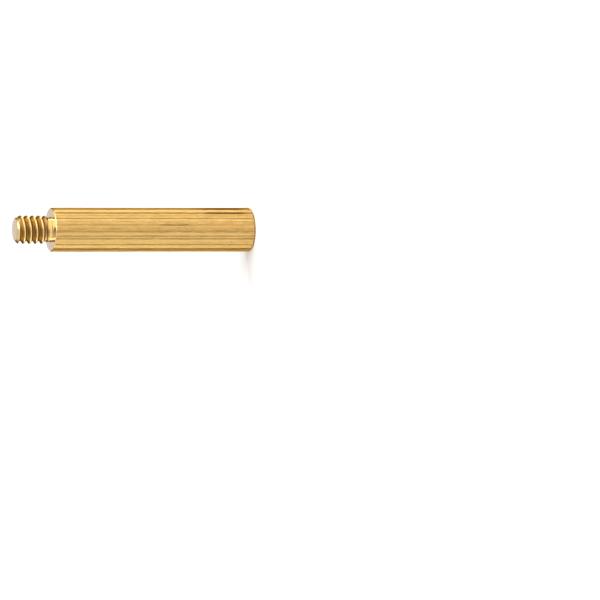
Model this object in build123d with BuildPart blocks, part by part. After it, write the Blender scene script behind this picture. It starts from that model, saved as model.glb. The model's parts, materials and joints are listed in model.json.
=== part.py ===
"""A round brass standoff with a straight knurl, a threaded stud and a tapped hole.

It is turned from bar as one piece. It stands on its tapped end at z = 0, with its axis on Z and
the stud at the top. The threads are fine, so both are plain here: the stud has its thread's outer
diameter, and the hole has its thread's inner diameter.
"""

import os
from math import radians, sqrt, tan

from build123d import *

# Barrel
body_length = 20.0
body_diameter = 4.25
base_chamfer = 0.18
shoulder_chamfer = 0.08

# Straight knurl rolled along the barrel
knurl_count = 19
knurl_depth = 0.06
knurl_flank_angle = 110.0
knurl_root_radius = 0.03

# Stud: a round groove at its foot, the thread, and a chamfered tip
stud_length = 3.55
thread_diameter = 2.74
neck_step = 0.2
neck_groove_radius = 0.34
foot_margin = 0.03
tip_chamfer = 0.3

# Tapped hole
hole_diameter = 2.26
hole_depth = 9.5
countersink_width = 0.3
drill_point_angle = 118.0

# Places that follow from the sizes above
body_radius = body_diameter / 2
thread_radius = thread_diameter / 2
neck_radius = thread_radius - neck_step
hole_radius = hole_diameter / 2
shoulder_height = body_length
foot_radius = thread_radius + foot_margin
groove_centre_radius = neck_radius + neck_groove_radius
foot_to_neck = sqrt(neck_groove_radius**2 - (groove_centre_radius - foot_radius) ** 2)
neck_to_thread = sqrt(neck_groove_radius**2 - (groove_centre_radius - thread_radius) ** 2)
neck_height = shoulder_height + foot_to_neck
thread_start_height = neck_height + neck_to_thread
tip_height = shoulder_height + stud_length
drill_point_height = hole_radius / tan(radians(drill_point_angle / 2))
knurl_reach = 2 * knurl_depth
knurl_half_width = knurl_reach * tan(radians(knurl_flank_angle / 2))

with BuildPart() as standoff:
    # Half section of the barrel, with both end chamfers
    with BuildSketch(Plane.XZ):
        with BuildLine():
            Polyline(
                (0, 0),
                (body_radius - base_chamfer, 0),
                (body_radius, base_chamfer),
                (body_radius, shoulder_height - shoulder_chamfer),
                (body_radius - shoulder_chamfer, shoulder_height),
                (0, shoulder_height),
                close=True,
            )
        make_face()
    revolve(axis=Axis.Z)

    # Half section of the stud, with the round groove between the shoulder and the thread
    with BuildSketch(Plane.XZ):
        with BuildLine():
            groove = ThreePointArc(
                (foot_radius, shoulder_height),
                (neck_radius, neck_height),
                (thread_radius, thread_start_height),
            )
            Polyline(
                groove @ 1,
                (thread_radius, tip_height - tip_chamfer),
                (thread_radius - tip_chamfer, tip_height),
                (0, tip_height),
                (0, shoulder_height),
                groove @ 0,
            )
        make_face()
    revolve(axis=Axis.Z)

    # V grooves of the knurl, cut along the whole barrel and open at both ends
    with BuildSketch() as knurl_grooves:
        with PolarLocations(body_radius - knurl_depth, knurl_count):
            Polygon(
                (0, 0),
                (knurl_reach, knurl_half_width),
                (knurl_reach, -knurl_half_width),
                align=None,
            )
        groove_roots = knurl_grooves.vertices().sort_by_distance((0, 0))[:knurl_count]
        fillet(groove_roots, radius=knurl_root_radius)
    extrude(amount=shoulder_height, mode=Mode.SUBTRACT)

    # Half section of the tapped hole, with its countersunk mouth and drill point
    with BuildSketch(Plane.XZ):
        with BuildLine():
            Polyline(
                (0, 0),
                (hole_radius + countersink_width, 0),
                (hole_radius, countersink_width),
                (hole_radius, hole_depth),
                (0, hole_depth + drill_point_height),
                close=True,
            )
        make_face()
    revolve(axis=Axis.Z, mode=Mode.SUBTRACT)

standoff.part.label = "standoff"

os.makedirs("parts", exist_ok=True)
export_step(standoff.part, "parts/standoff.step")
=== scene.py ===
"""Looks of a turned brass standoff: a knurled barrel, a threaded stud and a tapped hole.

The standoff stands on its tapped end with its axis on Z. Sizes that others must fit come from the
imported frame, and the rest are fields of the classes below. Lengths are metres.
"""

import json
import logging
import math
from collections.abc import Callable, Iterator
from contextlib import contextmanager
from dataclasses import dataclass
from enum import Enum, IntEnum

import bpy
from mathutils import Matrix, Vector

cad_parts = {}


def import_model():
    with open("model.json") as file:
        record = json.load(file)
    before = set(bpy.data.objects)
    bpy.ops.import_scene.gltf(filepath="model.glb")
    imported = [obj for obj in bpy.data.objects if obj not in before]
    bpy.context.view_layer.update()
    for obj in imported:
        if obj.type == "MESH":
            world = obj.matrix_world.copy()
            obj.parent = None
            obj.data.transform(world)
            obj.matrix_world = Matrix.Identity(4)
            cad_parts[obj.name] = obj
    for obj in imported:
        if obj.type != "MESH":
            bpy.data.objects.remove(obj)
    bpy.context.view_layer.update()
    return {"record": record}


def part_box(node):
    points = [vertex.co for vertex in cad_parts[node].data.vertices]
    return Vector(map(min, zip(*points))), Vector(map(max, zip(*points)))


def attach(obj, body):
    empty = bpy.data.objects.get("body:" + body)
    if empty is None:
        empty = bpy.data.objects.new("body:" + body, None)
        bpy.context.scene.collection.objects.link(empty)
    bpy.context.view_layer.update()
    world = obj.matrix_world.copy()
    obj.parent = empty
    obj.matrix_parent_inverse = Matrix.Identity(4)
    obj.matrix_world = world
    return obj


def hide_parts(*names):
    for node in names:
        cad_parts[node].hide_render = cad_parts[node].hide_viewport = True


log = logging.getLogger("standoff")

MM = 0.001
MERGE = 1e-7
FULL_TURN = 2 * math.pi
NOISE_MIDDLE = 0.5
NODE = "standoff"
BODY = "root"

Colour = tuple[float, float, float]
WHITE: Colour = (1.0, 1.0, 1.0)
Place = tuple[float, float, float]
Point = tuple[float, float]
Outline = list[Point]


class Cut(Enum):
    """How one solid changes another."""

    JOIN = "UNION"
    TAKE_AWAY = "DIFFERENCE"
    KEEP_COMMON = "INTERSECT"


class Heading(IntEnum):
    """Directions in a half section, in degrees from the outward one."""

    UP = 90
    INWARD = 180
    DOWN = 270


class Zone(IntEnum):
    """Parts of the standoff's skin that have a finish of their own, in the order of the material slots.

    The threads' finish is also on the neck, the hole's wall and the edge breaks at the stud end.
    """

    BARREL = 0
    TURNED = 1
    THREAD = 2


# Modelling steps that the sub-assemblies share


def select_only(piece: bpy.types.Object) -> None:
    """Makes a piece the one selected and active object.

    Args:
        piece: the object that the next operators act on.
    """
    bpy.ops.object.select_all(action="DESELECT")
    piece.select_set(True)
    bpy.context.view_layer.objects.active = piece


@contextmanager
def editing(piece: bpy.types.Object, wanted: Callable[[Vector], bool] | None = None) -> Iterator[None]:
    """Opens a piece in edit mode with some of its vertices selected, and closes it again.

    Args:
        piece: the mesh object to edit.
        wanted: says of a vertex's place whether it is selected, or None to select all.

    Yields:
        Nothing, while the piece is open.
    """
    select_only(piece)
    bpy.ops.object.mode_set(mode="EDIT")
    bpy.ops.mesh.select_mode(type="VERT")
    bpy.ops.mesh.select_all(action="DESELECT" if wanted else "SELECT")
    if wanted:
        bpy.ops.object.mode_set(mode="OBJECT")
        for vertex in piece.data.vertices:
            vertex.select = wanted(vertex.co)
        bpy.ops.object.mode_set(mode="EDIT")
    yield
    bpy.ops.object.mode_set(mode="OBJECT")


def close_skin() -> None:
    """Merges doubled points of the mesh in edit mode and turns its faces outwards."""
    bpy.ops.mesh.select_all(action="SELECT")
    bpy.ops.mesh.remove_doubles(threshold=MERGE)
    bpy.ops.mesh.normals_make_consistent(inside=False)


def drawn_outline(name: str, points: Outline) -> bpy.types.Object:
    """Draws a line through points of the half section by extruding one vertex from each to the next.

    Args:
        name: the new object's name.
        points: (radius, height) of each corner.

    Returns:
        A mesh object with one open chain of edges in the XZ plane.
    """
    bpy.ops.object.select_all(action="DESELECT")
    (radius, height), *rest = points
    bpy.ops.mesh.primitive_plane_add(size=MM)
    piece = bpy.context.object
    piece.name = name
    with editing(piece):
        bpy.ops.mesh.merge(type="CENTER")
        bpy.ops.transform.translate(value=(radius, 0, height))
        for next_radius, next_height in rest:
            step = (next_radius - radius, 0, next_height - height)
            bpy.ops.mesh.extrude_region_move(TRANSFORM_OT_translate={"value": step})
            radius, height = next_radius, next_height
    return piece


def lathe(name: str, points: Outline, steps: int) -> bpy.types.Object:
    """Turns a half section about Z into a closed solid.

    Args:
        name: the new object's name.
        points: (radius, height) of each corner, with both ends on the axis.
        steps: number of facets round the axis.

    Returns:
        The turned solid.
    """
    piece = drawn_outline(name, points)
    with editing(piece):
        bpy.ops.mesh.spin(steps=steps, angle=FULL_TURN, center=(0, 0, 0), axis=(0, 0, 1))
        close_skin()
    return piece


def round_corner(centre: Point, radius: float, start: float, end: float, steps: int) -> Outline:
    """Works out the points of a rounded corner of a half section.

    Args:
        centre: (radius, height) of the arc's centre.
        radius: the arc's own radius.
        start: angle of the first point, in degrees from the outward direction.
        end: angle of the last point.
        steps: number of straight pieces in the arc.

    Returns:
        The arc's points in order.
    """
    angles = [math.radians(start + (end - start) * step / steps) for step in range(steps + 1)]
    return [(centre[0] + radius * math.cos(a), centre[1] + radius * math.sin(a)) for a in angles]


def combine(target: bpy.types.Object, tool: bpy.types.Object, cut: Cut) -> None:
    """Changes one solid by another, which is used up.

    Args:
        target: the solid that stays.
        tool: the solid that joins it, cuts it or trims it.
        cut: which of these the tool does.
    """
    select_only(target)
    modifier = target.modifiers.new(cut.name.lower(), "BOOLEAN")
    modifier.operation = cut.value
    modifier.solver = "MANIFOLD"
    modifier.object = tool
    bpy.ops.object.modifier_apply(modifier=modifier.name)
    bpy.data.objects.remove(tool)


# Sub-assemblies of the standoff


@dataclass(frozen=True)
class Plan:
    """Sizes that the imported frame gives."""

    barrel_radius: float
    shoulder_height: float
    tip_height: float
    thread_radius: float
    hole_radius: float
    hole_depth: float

    @classmethod
    def from_frame(cls, record: dict) -> "Plan":
        """Reads the sizes from the node's box and the record's mounts.

        Args:
            record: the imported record.

        Returns:
            The plan that every sub-assembly follows.
        """
        mounts = {mount["name"]: mount for mount in record["mounts"]}
        low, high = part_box(NODE)
        hole = mounts["tapped_hole"]
        return cls(
            barrel_radius=(high.y - low.y) / 2,
            shoulder_height=mounts["shoulder"]["pos_m"][2],
            tip_height=high.z,
            thread_radius=mounts["stud"]["dims"]["r_mm"] * MM,
            hole_radius=hole["dims"]["r_mm"] * MM,
            hole_depth=hole["pos_m"][2] + hole["dims"]["length_mm"] / 2 * MM,
        )


@dataclass
class ThreadForm:
    """A right-hand screw thread with flat, slightly rounded crests and roots.

    The outline of one turn is given in shares: of the pitch, out from the middle of the crest, and of
    the depth, up from the root.
    """

    crest_radius: float
    pitch: float = 0.61 * MM
    depth: float = 0.27 * MM
    steps: int = 80
    half_turn_shares: tuple[Point, ...] = (
        (0.0, 1.0),
        (0.05, 1.0),
        (0.09, 0.95),
        (0.38, 0.06),
        (0.43, 0.0),
        (0.5, 0.0),
    )

    @property
    def root_radius(self) -> float:
        """Radius at the bottom of the thread."""
        return self.crest_radius - self.depth

    def bar(self, name: str, low: float, high: float, crest_height: float) -> bpy.types.Object:
        """Makes a threaded bar about Z with flat ends.

        Args:
            name: the new object's name.
            low: height of the bar's lower end.
            high: height of its upper end.
            crest_height: a height where the crest crosses the +X side.

        Returns:
            The bar as a closed solid.
        """
        first_crest = crest_height - math.ceil((crest_height - low) / self.pitch + 1) * self.pitch
        turns = math.ceil((high - first_crest) / self.pitch) + 1
        falling = [(-share, rise) for share, rise in reversed(self.half_turn_shares)]
        shares = falling[:-1] + list(self.half_turn_shares)
        points = [
            (self.root_radius + rise * self.depth, first_crest + share * self.pitch)
            for share, rise in shares
        ]
        bar = drawn_outline(name, points)
        screw = bar.modifiers.new("thread", "SCREW")
        screw.axis = "Z"
        screw.angle = FULL_TURN
        screw.screw_offset = self.pitch
        screw.iterations = turns
        screw.steps = self.steps
        screw.render_steps = self.steps
        select_only(bar)
        bpy.ops.object.modifier_apply(modifier=screw.name)
        with editing(bar):
            bpy.ops.mesh.remove_doubles(threshold=MERGE)
            self._cut_off(low, keep_above=True)
            self._cut_off(high, keep_above=False)
            close_skin()
        return bar

    @staticmethod
    def _cut_off(height: float, keep_above: bool) -> None:
        """Saws the bar in edit mode across its axis and closes the end.

        Args:
            height: where the saw goes.
            keep_above: whether the part above the saw stays.
        """
        bpy.ops.mesh.select_all(action="SELECT")
        bpy.ops.mesh.bisect(
            plane_co=(0, 0, height),
            plane_no=(0, 0, 1),
            use_fill=True,
            clear_inner=keep_above,
            clear_outer=not keep_above,
            threshold=MERGE,
        )


@dataclass
class Barrel:
    """The round body with its straight knurl and turned ends."""

    plan: Plan
    grooves: int = 19
    points_per_tooth: int = 24
    groove_depth: float = 0.06 * MM
    flank_angle: float = 110.0
    base_chamfer: float = 0.18 * MM
    shoulder_chamfer: float = 0.08 * MM
    overrun: float = 0.3 * MM
    turning_steps: int = 228

    def build(self) -> bpy.types.Object:
        """Rolls the knurl into a bar and turns its two ends.

        Returns:
            The barrel as a closed solid.
        """
        barrel = self._knurled_bar()
        combine(barrel, self._turned_limits(), Cut.KEEP_COMMON)
        return barrel

    def _knurled_bar(self) -> bpy.types.Object:
        """Draws the knurled section and extrudes it past both ends of the barrel.

        Returns:
            The bar as a closed solid.
        """
        bpy.ops.object.select_all(action="DESELECT")
        bpy.ops.mesh.primitive_circle_add(
            vertices=self.grooves * self.points_per_tooth,
            radius=self.plan.barrel_radius,
            location=(0, 0, -self.overrun),
        )
        bar = bpy.context.object
        bar.name = "knurled_bar"
        bpy.ops.object.transform_apply(location=True)
        shrink = 1 - self.groove_depth / self.plan.barrel_radius
        rise = self.plan.shoulder_height + 2 * self.overrun
        with editing(bar, self._in_groove):
            bpy.ops.transform.resize(
                value=(shrink, shrink, 1),
                center_override=(0, 0, 0),
                use_proportional_edit=True,
                proportional_edit_falloff="LINEAR",
                proportional_size=self.groove_depth * math.tan(math.radians(self.flank_angle / 2)),
            )
            bpy.ops.mesh.select_all(action="SELECT")
            bpy.ops.mesh.edge_face_add()
            bpy.ops.mesh.extrude_region_move(TRANSFORM_OT_translate={"value": (0, 0, rise)})
            close_skin()
        return bar

    def _in_groove(self, place: Vector) -> bool:
        """Says whether a point of the section lies at the root of a groove.

        Args:
            place: the point.

        Returns:
            True at a root, and False elsewhere.
        """
        points = self.grooves * self.points_per_tooth
        number = round(math.atan2(place.y, place.x) / FULL_TURN * points)
        return number % self.points_per_tooth == 0

    def _turned_limits(self) -> bpy.types.Object:
        """Turns the solid that trims the knurled bar to length and chamfers its ends.

        Returns:
            A solid that clears the barrel's side and meets it at the chamfers.
        """
        radius = self.plan.barrel_radius
        top = self.plan.shoulder_height
        spare = self.overrun
        points = [
            (0, 0),
            (radius - self.base_chamfer, 0),
            (radius + spare, self.base_chamfer + spare),
            (radius + spare, top - self.shoulder_chamfer - spare),
            (radius - self.shoulder_chamfer, top),
            (0, top),
        ]
        return lathe("turned_limits", points, self.turning_steps)


@dataclass
class Stud:
    """The threaded end: a plain neck at its foot, a thread that runs out on it, and a chamfered tip."""

    plan: Plan
    neck_step: float = 0.2 * MM
    neck_length: float = 0.3217 * MM
    foot_fillet: float = 0.05 * MM
    run_out_radius: float = 0.34 * MM
    root_fade: float = 0.55 * MM
    tip_chamfer: float = 0.3 * MM
    tip_chamfer_angle: float = 45.0
    tip_rounding: float = 0.07 * MM
    crest_above_shoulder: float = 1.197 * MM
    sunk: float = 0.4 * MM
    overrun: float = 0.4 * MM
    core_gap: float = 0.03 * MM
    turning_steps: int = 120
    arc_steps: int = 8

    @property
    def neck_radius(self) -> float:
        """Radius of the plain neck."""
        return self.plan.thread_radius - self.neck_step

    @property
    def neck_top(self) -> float:
        """Height where the neck ends and the thread starts to run out."""
        return self.plan.shoulder_height + self.neck_length

    def build(self) -> bpy.types.Object:
        """Rolls the thread, trims it to the turned outline and sets it on its neck.

        Returns:
            The stud as a closed solid that reaches a little into the barrel.
        """
        form = ThreadForm(self.plan.thread_radius)
        shoulder = self.plan.shoulder_height
        thread = form.bar(
            "stud",
            low=shoulder + self.core_gap,
            high=self.plan.tip_height + self.overrun,
            crest_height=shoulder + self.crest_above_shoulder,
        )
        combine(thread, self._turned_limits(), Cut.KEEP_COMMON)
        combine(thread, self._core(form), Cut.JOIN)
        return thread

    def _turned_limits(self) -> bpy.types.Object:
        """Turns the outline that the thread stays in, from the arc of its run-out to the tip.

        Returns:
            The trimming solid.
        """
        tip = self.plan.tip_height
        radius = self.plan.thread_radius
        run_out_centre = (self.neck_radius + self.run_out_radius, self.neck_top)
        climb = math.degrees(math.acos(1 - self.neck_step / self.run_out_radius))
        run_out = round_corner(
            run_out_centre, self.run_out_radius, Heading.INWARD, Heading.INWARD - climb, self.arc_steps
        )
        setback = math.tan(math.radians(self.tip_chamfer_angle / 2)) * self.tip_rounding
        tip_centre = (radius - self.tip_chamfer - setback, tip - self.tip_rounding)
        tip_corner = round_corner(
            tip_centre, self.tip_rounding, self.tip_chamfer_angle, Heading.UP, self.arc_steps
        )
        points = [
            (0, self.neck_top),
            (self.neck_radius - self.core_gap, self.neck_top),
            *run_out[1:],
            (radius, tip - self.tip_chamfer),
            *tip_corner,
            (0, tip),
        ]
        return lathe("stud_limits", points, self.turning_steps)

    def _core(self, form: ThreadForm) -> bpy.types.Object:
        """Turns the neck with a small fillet at its foot, and a cone that the thread's root rises on.

        Args:
            form: the thread that runs out on the core.

        Returns:
            The core as a closed solid.
        """
        shoulder = self.plan.shoulder_height
        buried = shoulder - self.sunk
        fillet_centre = (self.neck_radius + self.foot_fillet, shoulder + self.foot_fillet)
        foot = round_corner(
            fillet_centre, self.foot_fillet, Heading.DOWN, Heading.INWARD, self.arc_steps
        )
        inside = form.root_radius - self.core_gap
        cone_top = self.neck_top + self.root_fade
        points = [
            (0, buried),
            (foot[0][0], buried),
            *foot,
            (self.neck_radius, self.neck_top),
            (inside, cone_top),
            (inside, cone_top + form.pitch),
            (0, cone_top + form.pitch),
        ]
        return lathe("stud_core", points, self.turning_steps)


@dataclass
class TappedHole:
    """The blind hole in the base: a countersunk mouth, a thread cut by a tap and a drill point."""

    plan: Plan
    crest_clearance: float = 0.06 * MM
    countersink: float = 0.3 * MM
    thread_length: float = 7.6 * MM
    lead_length: float = 1.2 * MM
    drill_point_angle: float = 118.0
    overrun: float = 0.2 * MM
    turning_steps: int = 96

    @property
    def start(self) -> float:
        """Height, below the base, where the turned cutters start."""
        return -2 * self.overrun

    def cutter(self) -> bpy.types.Object:
        """Makes the solid that the drill, the countersink and the tap take away together.

        Returns:
            The cutter as a closed solid.
        """
        form = ThreadForm(self.plan.thread_radius + self.crest_clearance)
        cutter = form.bar(
            "tap", low=-self.overrun, high=self.thread_length + self.lead_length, crest_height=0.0
        )
        combine(cutter, self._tap_lead(form), Cut.KEEP_COMMON)
        combine(cutter, self._drill(), Cut.JOIN)
        return cutter

    def _tap_lead(self, form: ThreadForm) -> bpy.types.Object:
        """Turns the outline of the tap, with the tapered lead at its end.

        Args:
            form: the thread that the tap cuts.

        Returns:
            The trimming solid.
        """
        outside = form.crest_radius + self.overrun
        inside = form.root_radius - self.overrun
        end = self.thread_length + self.lead_length
        points = [
            (0, self.start),
            (outside, self.start),
            (outside, self.thread_length),
            (inside, end),
            (0, end),
        ]
        return lathe("tap_lead", points, self.turning_steps)

    def _drill(self) -> bpy.types.Object:
        """Turns the drilled hole with its countersink and drill point.

        Returns:
            The drilled space as a solid.
        """
        radius = self.plan.hole_radius
        depth = self.plan.hole_depth
        mouth = radius + self.countersink
        point = depth + radius / math.tan(math.radians(self.drill_point_angle / 2))
        points = [
            (0, self.start),
            (mouth - self.start, self.start),
            (mouth, 0),
            (radius, self.countersink),
            (radius, depth),
            (0, point),
        ]
        return lathe("drill", points, self.turning_steps)


# Shader maths


class Signal:
    """An output socket of a shader node, with arithmetic that adds Math nodes."""

    def __init__(self, board: "Board", socket: bpy.types.NodeSocket) -> None:
        """Keeps the socket and the board that it lies on.

        Args:
            board: the board that new nodes go on.
            socket: the socket that carries the value.
        """
        self.board = board
        self.socket = socket

    def __add__(self, other: "Value") -> "Signal":
        """Adds a value."""
        return self.board.maths("ADD", self, other)

    def __radd__(self, other: "Value") -> "Signal":
        """Adds this to a number."""
        return self.board.maths("ADD", other, self)

    def __sub__(self, other: "Value") -> "Signal":
        """Takes a value away."""
        return self.board.maths("SUBTRACT", self, other)

    def __rsub__(self, other: "Value") -> "Signal":
        """Takes this away from a number."""
        return self.board.maths("SUBTRACT", other, self)

    def __mul__(self, other: "Value") -> "Signal":
        """Multiplies by a value."""
        return self.board.maths("MULTIPLY", self, other)

    def __rmul__(self, other: "Value") -> "Signal":
        """Multiplies a number by this."""
        return self.board.maths("MULTIPLY", other, self)

    def __truediv__(self, other: "Value") -> "Signal":
        """Divides by a value."""
        return self.board.maths("DIVIDE", self, other)

    def __rtruediv__(self, other: "Value") -> "Signal":
        """Divides a number by this."""
        return self.board.maths("DIVIDE", other, self)


Value = Signal | float | int | tuple


class ColourMix(IntEnum):
    """Sockets of a Mix node for colours, by index because their names repeat."""

    SHARE = 0
    FIRST = 6
    SECOND = 7
    RESULT = 2


class Board:
    """A node tree and the one method that adds nodes to it."""

    def __init__(self, tree: bpy.types.NodeTree) -> None:
        """Clears the tree.

        Args:
            tree: the node tree of a material or a world.
        """
        self.tree = tree
        tree.nodes.clear()

    def node(
        self,
        kind: str,
        settings: dict | None = None,
        inputs: dict | None = None,
        output: str | int = 0,
    ) -> Signal | None:
        """Adds a node.

        Args:
            kind: the node's type.
            settings: properties to set first, with a ramp's stops under "stops".
            inputs: values or signals by the input's name or index.
            output: name or index of the output to return.

        Returns:
            The chosen output, or None for a node that has no outputs.
        """
        node = self.tree.nodes.new(kind)
        for name, value in (settings or {}).items():
            if name == "stops":
                self._set_stops(node.color_ramp, value)
            else:
                setattr(node, name, value)
        for name, value in (inputs or {}).items():
            if isinstance(value, Signal):
                self.tree.links.new(value.socket, node.inputs[name])
            else:
                node.inputs[name].default_value = value
        return Signal(self, node.outputs[output]) if node.outputs else None

    @staticmethod
    def _set_stops(ramp: bpy.types.ColorRamp, stops: tuple[Point, ...]) -> None:
        """Gives a ramp its grey stops.

        Args:
            ramp: the ramp to fill.
            stops: (position, grey level) in rising order.
        """
        while len(ramp.elements) < len(stops):
            ramp.elements.new(1.0)
        for element, (position, level) in zip(ramp.elements, stops):
            element.position = position
            element.color = (level, level, level, 1.0)

    def maths(self, operation: str, first: Value, second: Value = 0.0) -> Signal:
        """Adds a Math node.

        Args:
            operation: the node's operation.
            first: its first value.
            second: its second value.

        Returns:
            The result.
        """
        return self.node("ShaderNodeMath", {"operation": operation}, {0: first, 1: second})

    def clamped(self, value: Signal) -> Signal:
        """Keeps a value between 0 and 1."""
        settings = {"operation": "ADD", "use_clamp": True}
        return self.node("ShaderNodeMath", settings, {0: value, 1: 0.0})

    def ramp(self, value: Signal, *stops: Point) -> Signal:
        """Maps a value through a ramp of grey stops.

        Args:
            value: the value to map.
            stops: (position, level) in rising order.

        Returns:
            The mapped value.
        """
        return self.node("ShaderNodeValToRGB", {"stops": stops}, {0: value})

    def tint(self, share: Signal, first: Colour, second: Colour) -> Signal:
        """Mixes two colours.

        Args:
            share: how much of the second colour shows.
            first: colour at 0.
            second: colour at 1.

        Returns:
            The mixed colour.
        """
        inputs = {
            ColourMix.SHARE: share,
            ColourMix.FIRST: (*first, 1.0),
            ColourMix.SECOND: (*second, 1.0),
        }
        return self.node("ShaderNodeMix", {"data_type": "RGBA"}, inputs, output=ColourMix.RESULT)


@dataclass(frozen=True)
class Layer:
    """One kind of noise on the metal, with how far it darkens and raises the surface.

    The width round the axis and the length along it are millimetres. The detail counts octaves of finer
    noise, which count for less by the finer share, and the shift picks another part of the noise.
    """

    width: float
    length: float
    detail: float
    shift: float = 0.0
    finer_share: float = 0.6
    darkening: float = 0.0
    relief: float = 0.0


@dataclass(frozen=True)
class Coordinates:
    """Places on the standoff in millimetres, as signals."""

    board: Board
    place: Signal
    angle: Signal
    radius: Signal
    height: Signal

    @classmethod
    def on(cls, board: Board) -> "Coordinates":
        """Reads object coordinates and works out the polar ones about the standoff's axis.

        Args:
            board: the material's board.

        Returns:
            The coordinates.
        """
        metres = board.node("ShaderNodeTexCoord", output="Object")
        to_millimetres = (1 / MM, 1 / MM, 1 / MM)
        place = board.node("ShaderNodeMapping", inputs={"Vector": metres, "Scale": to_millimetres})
        split = board.node("ShaderNodeSeparateXYZ", inputs={"Vector": place})
        across, depth, height = (Signal(board, socket) for socket in split.socket.node.outputs)
        angle = board.maths("ARCTAN2", depth, across)
        radius = board.maths("SQRT", across * across + depth * depth)
        return cls(board, place, angle, radius, height)

    def above(self, start: float, fade: float) -> Signal:
        """Gives 0 up to a height, rising to 1 over a fade's length past it."""
        return self.board.clamped((self.height - start) / fade)

    def below(self, start: float, fade: float) -> Signal:
        """Gives 0 down to a height, rising to 1 over a fade's length under it."""
        return self.board.clamped((start - self.height) / fade)

    def noise(self, layer: Layer) -> Signal:
        """Makes a layer's noise.

        Args:
            layer: the noise's sizes.

        Returns:
            Noise from 0 to 1, about NOISE_MIDDLE.
        """
        inputs = {
            "Vector": self.place,
            "Scale": (1 / layer.width, 1 / layer.width, 1 / layer.length),
            "Location": (layer.shift, layer.shift, layer.shift),
        }
        drawn = self.board.node("ShaderNodeMapping", inputs=inputs)
        inputs = {"Vector": drawn, "Scale": 1.0, "Detail": layer.detail, "Roughness": layer.finer_share}
        return self.board.node("ShaderNodeTexNoise", inputs=inputs)


@dataclass(frozen=True, kw_only=True)
class BrassFinish:
    """What the finishes of the standoff share: the metal's colours and how its shader is put together.

    The light colour shows where the metal is clean and the dark one where it is worn, and on the barrel
    and the stud's thread also where shade is painted; the barrel's painted highlights lean to the light
    colour.
    The stretch draws the gloss out one way, and its turn, a share of a full turn, says which way.
    """

    name: str
    light: Colour
    dark: Colour
    roughness: float
    roughness_spread: float
    bump_depth: float
    edge_tint: Colour = (0.3, 0.2, 0.09)
    stretch: float = 0.0
    stretch_turn: float = 0.25

    def material(self) -> bpy.types.Material:
        """Builds the material.

        Returns:
            The finished material.
        """
        material = bpy.data.materials.new(self.name)
        material.use_nodes = True
        board = Board(material.node_tree)
        coordinates = Coordinates.on(board)
        # The darkening holds where the metal is worn and, on the barrel and the stud's thread, painted
        # shade and painted highlights.
        darkening, relief = self.pattern(board, coordinates)
        spread = self.roughness_spread
        rough = self.roughness - spread + darkening * (2 * spread)
        normal = board.node("ShaderNodeBump", inputs={"Height": relief, "Distance": self.bump_depth})
        inputs = {
            "Base Color": board.tint(darkening, self.light, self.dark),
            "Metallic": 1.0,
            "Specular Tint": (*self.edge_tint, 1.0),
            "Roughness": rough,
            "Anisotropic": self.stretch,
            "Anisotropic Rotation": self.stretch_turn,
            "Normal": normal,
        }
        surface = board.node("ShaderNodeBsdfPrincipled", inputs=inputs)
        board.node("ShaderNodeOutputMaterial", inputs={"Surface": surface})
        return material

    def pattern(self, board: Board, coordinates: Coordinates) -> tuple[Signal, Signal]:
        """Works out where the metal is darker and how its surface rises.

        Args:
            board: the material's board.
            coordinates: places on the standoff.

        Returns:
            Darkness from 0 to 1, and height.
        """
        raise NotImplementedError


@dataclass(frozen=True)
class StainAndPaintedLightStreak:
    """A line along the barrel that is darker, and lighter where its strength is below zero. The
    full-length lines are painted shade and painted highlights, and the short ones, with low and high set,
    are stains.

    The place counts grooves of the knurl from +X. Low and high are heights in millimetres, next to which
    the streak fades, and the spread widens it.
    """

    place: float
    strength: float
    low: float = -1.0
    high: float = 21.0
    spread: float = 1.0
    fade: float = 0.8


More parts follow.
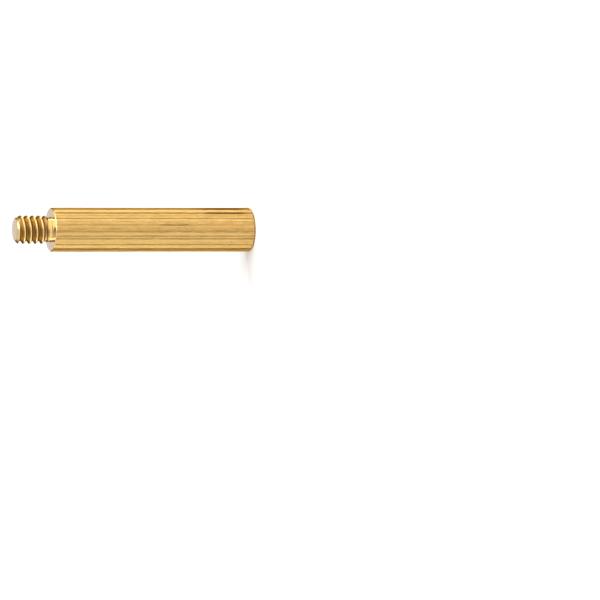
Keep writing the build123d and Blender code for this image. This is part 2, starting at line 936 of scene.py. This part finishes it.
@dataclass(frozen=True, kw_only=True)
class DrawnBrass(BrassFinish):
    """The barrel: brass drawn through a die, with die lines, hair lines, dashes and specks, painted shade
    in the knurl's grooves, painted highlights beside them, and streaks.

    Places round the barrel count grooves of the knurl, and heights are millimetres. The groove share is
    half a groove's width, and the land is a glossier band on one side of a groove that is painted lighter
    as a highlight. A pair of shares says how far from its middle a land or a streak starts to fade and
    ends. Die lines are darker near the base.
    """

    grooves: int = Barrel.grooves
    plain_wear: float = 0.25
    die_lines: Layer = Layer(width=0.11, length=900.0, detail=2.0, shift=53.0, darkening=0.75, relief=0.6)
    hair_lines: Layer = Layer(width=0.04, length=400.0, detail=2.0, shift=7.0, darkening=0.7, relief=0.4)
    dashes: Layer = Layer(width=0.055, length=1.0, detail=1.0, shift=3.0, darkening=0.85, relief=0.4)
    specks: Layer = Layer(width=0.05, length=0.1, detail=1.0, shift=5.0, darkening=0.9)
    base_top: float = 4.5
    base_fade: float = 3.0
    base_line_wear: float = 0.7
    groove_share: float = 0.15
    groove_painted_shade: float = 0.02
    gloss_and_painted_highlight_place: float = -0.27
    gloss_and_painted_highlight_shares: Point = (0.05, 0.14)
    gloss_and_painted_highlight_lift: float = -0.12
    streak_shares: Point = (0.4, 1.3)
    # Full-length streaks are painted shade and painted highlight lines; the short ones are stains.
    stains_and_painted_light: tuple[StainAndPaintedLightStreak, ...] = (
        StainAndPaintedLightStreak(place=-1.05, strength=0.45, spread=1.6),
        StainAndPaintedLightStreak(place=-0.9, strength=0.8, low=0.6, high=5.6, spread=2.2, fade=1.2),
        StainAndPaintedLightStreak(place=-1.55, strength=-0.5, spread=0.9),
        StainAndPaintedLightStreak(place=-2.1, strength=0.45, spread=1.2),
        StainAndPaintedLightStreak(place=-2.1, strength=0.8, low=0.6, high=5.2, spread=1.4),
        StainAndPaintedLightStreak(place=-2.62, strength=0.2, spread=0.6),
        StainAndPaintedLightStreak(place=-2.88, strength=-0.3, spread=0.6),
        StainAndPaintedLightStreak(place=-3.93, strength=-0.2, spread=0.8),
        StainAndPaintedLightStreak(place=-4.0, strength=0.4, low=6.2, high=9.9),
        StainAndPaintedLightStreak(place=-4.4, strength=0.12, spread=1.6),
        StainAndPaintedLightStreak(place=-5.33, strength=-0.3),
        StainAndPaintedLightStreak(place=-5.58, strength=0.2, spread=0.7),
        StainAndPaintedLightStreak(place=-5.86, strength=-0.2, spread=0.8),
        StainAndPaintedLightStreak(place=-6.3, strength=-0.3, spread=0.8),
        StainAndPaintedLightStreak(place=-6.85, strength=0.15),
        StainAndPaintedLightStreak(place=-7.91, strength=0.68, spread=1.4),
        StainAndPaintedLightStreak(place=-8.4, strength=-0.3, spread=1.2),
    )

    def pattern(self, board: Board, coordinates: Coordinates) -> tuple[Signal, Signal]:
        """Lays the layers of noise over one another, then paints shade into the knurl's grooves and
        highlights beside them, and adds the streaks of painted shade, painted highlight and stain.

        Args:
            board: the material's board.
            coordinates: places on the barrel.

        Returns:
            Darkness from 0 to 1, and height.
        """
        die_lines = coordinates.noise(self.die_lines)
        base_wear = coordinates.below(self.base_top, self.base_fade) * self.base_line_wear
        darkening = self.plain_wear + (die_lines - NOISE_MIDDLE) * (self.die_lines.darkening + base_wear)
        relief = die_lines * self.die_lines.relief
        for layer in (self.hair_lines, self.dashes, self.specks):
            noise = coordinates.noise(layer)
            darkening = darkening + (noise - NOISE_MIDDLE) * layer.darkening
            relief = relief + noise * layer.relief
        turns = coordinates.angle * (self.grooves / FULL_TURN)
        beside = turns - board.maths("ROUND", turns)
        groove = board.ramp(board.maths("ABSOLUTE", beside), (0.0, 1.0), (self.groove_share, 0.0))
        core, edge = self.gloss_and_painted_highlight_shares
        land = board.ramp(board.maths("ABSOLUTE", beside - self.gloss_and_painted_highlight_place), (core, 1.0), (edge, 0.0))
        # Painted shade darkens each groove, and the band on one side of it is painted lighter as a
        # highlight and made glossier.
        darkening = darkening + groove * self.groove_painted_shade + land * self.gloss_and_painted_highlight_lift
        # Streaks of painted shade and painted highlight, and short stains.
        for stain_and_painted_light_line in self.stains_and_painted_light:
            darkening = darkening + self._marked(board, coordinates, turns, stain_and_painted_light_line)
        return board.clamped(darkening), relief

    def _marked(self, board: Board, coordinates: Coordinates, turns: Signal, stain_and_painted_light_line: StainAndPaintedLightStreak) -> Signal:
        """Works out where a streak lies.

        Args:
            board: the material's board.
            coordinates: places on the barrel.
            turns: angle counted in grooves.
            stain_and_painted_light_line: the streak.

        Returns:
            The streak's strength, and 0 elsewhere.
        """
        aside = board.maths("ABSOLUTE", turns - stain_and_painted_light_line.place)
        core, edge = (share * self.groove_share * stain_and_painted_light_line.spread for share in self.streak_shares)
        across = board.ramp(aside, (core, 1.0), (edge, 0.0))
        over_low = coordinates.above(stain_and_painted_light_line.low, stain_and_painted_light_line.fade)
        under_high = coordinates.below(stain_and_painted_light_line.high, stain_and_painted_light_line.fade)
        return across * over_low * under_high * stain_and_painted_light_line.strength


@dataclass(frozen=True, kw_only=True)
class TurnedBrass(BrassFinish):
    """The faced ends: paler brass with fine rings left by the turning tool."""

    rings_per_mm: float = 16.0
    ring_wear: float = 0.35
    ring_relief: float = 0.7
    wobble: Layer = Layer(width=1 / 1.2, length=1 / 1.2, detail=2.0)
    wobble_reach: float = 3.0
    grain: Layer = Layer(width=1 / 14, length=1 / 14, detail=3.0, darkening=0.5, relief=0.3)

    def pattern(self, board: Board, coordinates: Coordinates) -> tuple[Signal, Signal]:
        """Draws rings about the axis with a little grain.

        Args:
            board: the material's board.
            coordinates: places on the faces.

        Returns:
            Darkness from 0 to 1, and height.
        """
        wobble = coordinates.noise(self.wobble) * self.wobble_reach
        phase = coordinates.radius * (self.rings_per_mm * FULL_TURN) + wobble
        rings = (board.maths("SINE", phase) + 1) / 2
        grain = coordinates.noise(self.grain)
        darkening = rings * self.ring_wear + grain * self.grain.darkening
        return darkening, rings * self.ring_relief + grain * self.grain.relief


@dataclass(frozen=True, kw_only=True)
class RolledBrass(BrassFinish):
    """The threads, the neck and the edge breaks: bright brass, with painted shade that browns the stud's
    flanks and roots.

    The bright neck and the bright tip are the stretches above the shoulder and below the tip that the
    painted shade leaves out, in millimetres. The crest shares are shares of the thread's depth between
    which the painted shade sets in.
    """

    plan: Plan
    crest_shares: Point = (0.02, 0.2)
    root_painted_shade: float = 0.85
    bright_neck: float = 0.5
    neck_fade: float = 0.3
    bright_tip: float = 0.28
    tip_fade: float = 0.05
    smears: Layer = Layer(width=1 / 6, length=1 / 6, detail=4.0, darkening=0.25)

    def pattern(self, board: Board, coordinates: Coordinates) -> tuple[Signal, Signal]:
        """Paints shade on the stud's thread below its crests and leaves faint smears.

        Args:
            board: the material's board.
            coordinates: places on the thread.

        Returns:
            Darkness from 0 to 1, and height.
        """
        crest, flank = self.crest_shares
        depth = ThreadForm.depth / MM
        below_crest = (self.plan.thread_radius / MM - coordinates.radius) / depth
        # Painted shade on the stud's flanks and roots, which leaves the crests as thin bright lines.
        root = board.ramp(below_crest, (crest, 0.0), (flank, 1.0))
        past_neck = coordinates.above(self.plan.shoulder_height / MM + self.bright_neck, self.neck_fade)
        before_tip = coordinates.below(self.plan.tip_height / MM - self.bright_tip, self.tip_fade)
        smears = coordinates.noise(self.smears)
        darkening = root * past_neck * before_tip * self.root_painted_shade + smears * self.smears.darkening
        return darkening, smears


# The whole object and its surroundings


@dataclass
class Standoff:
    """The one-piece standoff, put together from its sub-assemblies and dressed.

    The slopes are how far the normal of a flat end and of an edge break reaches along the axis at least.
    """

    plan: Plan
    smooth_angle: float = 32.0
    flat_slope: float = 0.9
    edge_slope: float = 0.35

    def build(self) -> bpy.types.Object:
        """Models the standoff, gives each zone its finish and sets it on the frame.

        Returns:
            The finished piece.
        """
        piece = Barrel(self.plan).build()
        log.info("barrel: %d faces", len(piece.data.polygons))
        combine(piece, Stud(self.plan).build(), Cut.JOIN)
        log.info("barrel with stud: %d faces", len(piece.data.polygons))
        combine(piece, TappedHole(self.plan).cutter(), Cut.TAKE_AWAY)
        log.info("standoff with tapped hole: %d faces", len(piece.data.polygons))
        self._dress(piece)
        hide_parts(NODE)
        piece.name = "turned_standoff"
        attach(piece, BODY)
        return piece

    def _dress(self, piece: bpy.types.Object) -> None:
        """Smooths the round faces and assigns the finishes by place.

        Args:
            piece: the finished solid.
        """
        select_only(piece)
        bpy.ops.object.shade_smooth_by_angle(angle=math.radians(self.smooth_angle))
        piece.data.materials.clear()
        for finish in finishes(self.plan).values():
            piece.data.materials.append(finish.material())
        for face in piece.data.polygons:
            face.material_index = self._zone(face)

    def _zone(self, face: bpy.types.MeshPolygon) -> Zone:
        """Says which finish a face has.

        Args:
            face: a face of the finished solid.

        Returns:
            The zone that the face lies in.
        """
        radius = math.hypot(face.center.x, face.center.y)
        height = face.center.z
        shoulder = self.plan.shoulder_height
        if height > shoulder + MERGE:
            near_tip = height > self.plan.tip_height - Stud.tip_chamfer
            return Zone.TURNED if near_tip and face.normal.z > self.flat_slope else Zone.THREAD
        on_end = height < MERGE or height > shoulder - MERGE
        if on_end and abs(face.normal.z) > self.flat_slope:
            return Zone.TURNED
        if height > shoulder - Barrel.shoulder_chamfer and face.normal.z > self.edge_slope:
            return Zone.THREAD
        if radius < self.plan.hole_radius + TappedHole.countersink + MERGE:
            return Zone.THREAD
        return Zone.BARREL


def finishes(plan: Plan) -> dict[Zone, BrassFinish]:
    """Gives the finish of each zone.

    Args:
        plan: the sizes that the threads' finish follows.

    Returns:
        The finishes in the order of the zones.
    """
    return {
        Zone.BARREL: DrawnBrass(
            name="drawn_brass",
            light=(0.8, 0.52, 0.183),
            dark=(0.21, 0.1, 0.014),
            roughness=0.42,
            roughness_spread=0.08,
            bump_depth=0.04 * MM,
            stretch=0.95,
        ),
        Zone.TURNED: TurnedBrass(
            name="turned_brass",
            light=(0.7, 0.525, 0.32),
            dark=(0.57, 0.425, 0.245),
            roughness=0.2,
            roughness_spread=0.04,
            bump_depth=0.001 * MM,
            edge_tint=WHITE,
        ),
        Zone.THREAD: RolledBrass(
            name="rolled_brass",
            light=(0.9, 0.66, 0.3),
            dark=(0.26, 0.125, 0.018),
            roughness=0.3,
            roughness_spread=0.14,
            bump_depth=0.002 * MM,
            plan=plan,
        ),
    }


@dataclass(frozen=True)
class DarkCard:
    """A dark card in the white surroundings, for the metal to reflect.

    The edge and the middle are cosines of the angle from the card's direction, between which it fades.
    """

    direction: Place
    edge: float
    middle: float
    strength: float


@dataclass(frozen=True)
class Lamp:
    """A soft lamp that faces the middle of the barrel, with its power in watts."""

    name: str
    place: Place
    width: float
    height: float
    power: float


@dataclass
class Studio:
    """A white floor, soft light and a long lens.

    The lens and its sensor are millimetres, and the camera's angles are degrees.
    """

    plan: Plan
    floor_size: float = 6.0
    floor_white: float = 0.96
    sky_strength: float = 1.0
    cards: tuple[DarkCard, ...] = (
        DarkCard((0.0, 0.45, 0.9), edge=0.72, middle=0.94, strength=0.45),
        DarkCard((0.0, -1.0, 0.2), edge=0.7, middle=0.95, strength=0.4),
        DarkCard((0.62, 0.78, 0.15), edge=0.82, middle=0.96, strength=0.3),
        DarkCard((-0.62, 0.78, 0.15), edge=0.82, middle=0.96, strength=0.3),
    )
    lamps: tuple[Lamp, ...] = (
        Lamp("key", place=(0.34, -0.2, 0.44), width=0.7, height=0.7, power=2.6),
        Lamp("edge_light", place=(0.314, 0.14, 0.09), width=0.07, height=0.32, power=0.65),
        Lamp("far_edge_light", place=(-0.32, 0.06, 0.09), width=0.14, height=0.32, power=0.4),
    )
    lens: float = 400.0
    sensor: float = 36.0
    frame_pixels: float = 600.0
    pixels_per_metre: float = 10365.0
    barrel_middle_pixel: Point = (150.45, 229.7)
    elevation: float = 17.5
    azimuth: float = 2.06
    roll: float = -0.19

    @property
    def barrel_middle(self) -> Vector:
        """The place that the lamps face and the camera is set by."""
        return Vector((0, 0, self.plan.shoulder_height / 2))

    def build(self) -> None:
        """Sets the floor, the light and the camera, and the plain view transform."""
        self._floor()
        self._sky()
        for lamp in self.lamps:
            self._hang(lamp)
        self._camera()
        bpy.context.scene.view_settings.view_transform = "Standard"

    def _floor(self) -> None:
        """Lays the floor at the standoff's foot."""
        bpy.ops.object.select_all(action="DESELECT")
        bpy.ops.mesh.primitive_plane_add(size=self.floor_size)
        floor = bpy.context.object
        floor.name = "floor"
        material = bpy.data.materials.new("white_floor")
        material.use_nodes = True
        board = Board(material.node_tree)
        white = (self.floor_white, self.floor_white, self.floor_white, 1.0)
        surface = board.node("ShaderNodeBsdfDiffuse", inputs={"Color": white})
        board.node("ShaderNodeOutputMaterial", inputs={"Surface": surface})
        floor.data.materials.append(material)

    def _sky(self) -> None:
        """Makes the surroundings white, with the dark cards for the metal to reflect."""
        world = bpy.data.worlds.new("white_room")
        bpy.context.scene.world = world
        world.use_nodes = True
        board = Board(world.node_tree)
        direction = board.node("ShaderNodeTexCoord", output="Generated")
        glow = self.sky_strength
        for card in self.cards:
            towards = {0: direction, 1: tuple(Vector(card.direction).normalized())}
            nearness = board.node(
                "ShaderNodeVectorMath", {"operation": "DOT_PRODUCT"}, towards, output="Value"
            )
            glow = glow * board.ramp(nearness, (card.edge, 1.0), (card.middle, card.strength))
        camera = board.node("ShaderNodeLightPath", output="Is Camera Ray")
        strength = camera + (1 - camera) * glow
        sky = board.node("ShaderNodeBackground", inputs={"Color": (*WHITE, 1.0), "Strength": strength})
        board.node("ShaderNodeOutputWorld", inputs={"Surface": sky})

    def _hang(self, lamp: Lamp) -> None:
        """Hangs a lamp in the scene.

        Args:
            lamp: the lamp to hang.
        """
        light = bpy.data.lights.new(lamp.name, "AREA")
        light.shape = "RECTANGLE"
        light.size = lamp.width
        light.size_y = lamp.height
        light.energy = lamp.power
        hung = bpy.data.objects.new(lamp.name, light)
        hung.location = lamp.place
        hung.rotation_euler = (self.barrel_middle - hung.location).to_track_quat("-Z", "Y").to_euler()
        bpy.context.scene.collection.objects.link(hung)

    def _camera(self) -> None:
        """Sets the long lens so that the standoff lies in the frame with its stud to the left."""
        turn = math.radians(self.azimuth)
        tilt = math.radians(self.elevation)
        back = Vector((math.sin(turn) * math.cos(tilt), -math.cos(turn) * math.cos(tilt), math.sin(tilt)))
        level = Vector((math.cos(turn), math.sin(turn), 0))
        image_up = Matrix.Rotation(math.radians(self.roll), 3, back) @ level
        image_right = image_up.cross(back)
        focal_pixels = self.lens / self.sensor * self.frame_pixels
        distance = focal_pixels / self.pixels_per_metre
        column, row = self.barrel_middle_pixel
        right = (column - self.frame_pixels / 2) / self.pixels_per_metre
        up = (self.frame_pixels / 2 - row) / self.pixels_per_metre
        place = self.barrel_middle + back * distance - image_right * right - image_up * up
        data = bpy.data.cameras.new("long_lens")
        data.lens = self.lens
        data.sensor_width = self.sensor
        camera = bpy.data.objects.new("long_lens", data)
        turned = Matrix((image_right, image_up, back)).transposed().to_4x4()
        camera.matrix_world = Matrix.Translation(place) @ turned
        bpy.context.scene.collection.objects.link(camera)
        bpy.context.scene.camera = camera


def main() -> None:
    """Builds the standoff round the frame, then its surroundings, and logs the plan and the face count.
    """
    logging.basicConfig(level=logging.INFO, format="%(name)s: %(message)s")
    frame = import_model()
    plan = Plan.from_frame(frame["record"])
    log.info("plan: %s", plan)
    piece = Standoff(plan).build()
    log.info("%s: %d faces", piece.name, len(piece.data.polygons))
    Studio(plan).build()


if __name__ == "__main__":
    main()
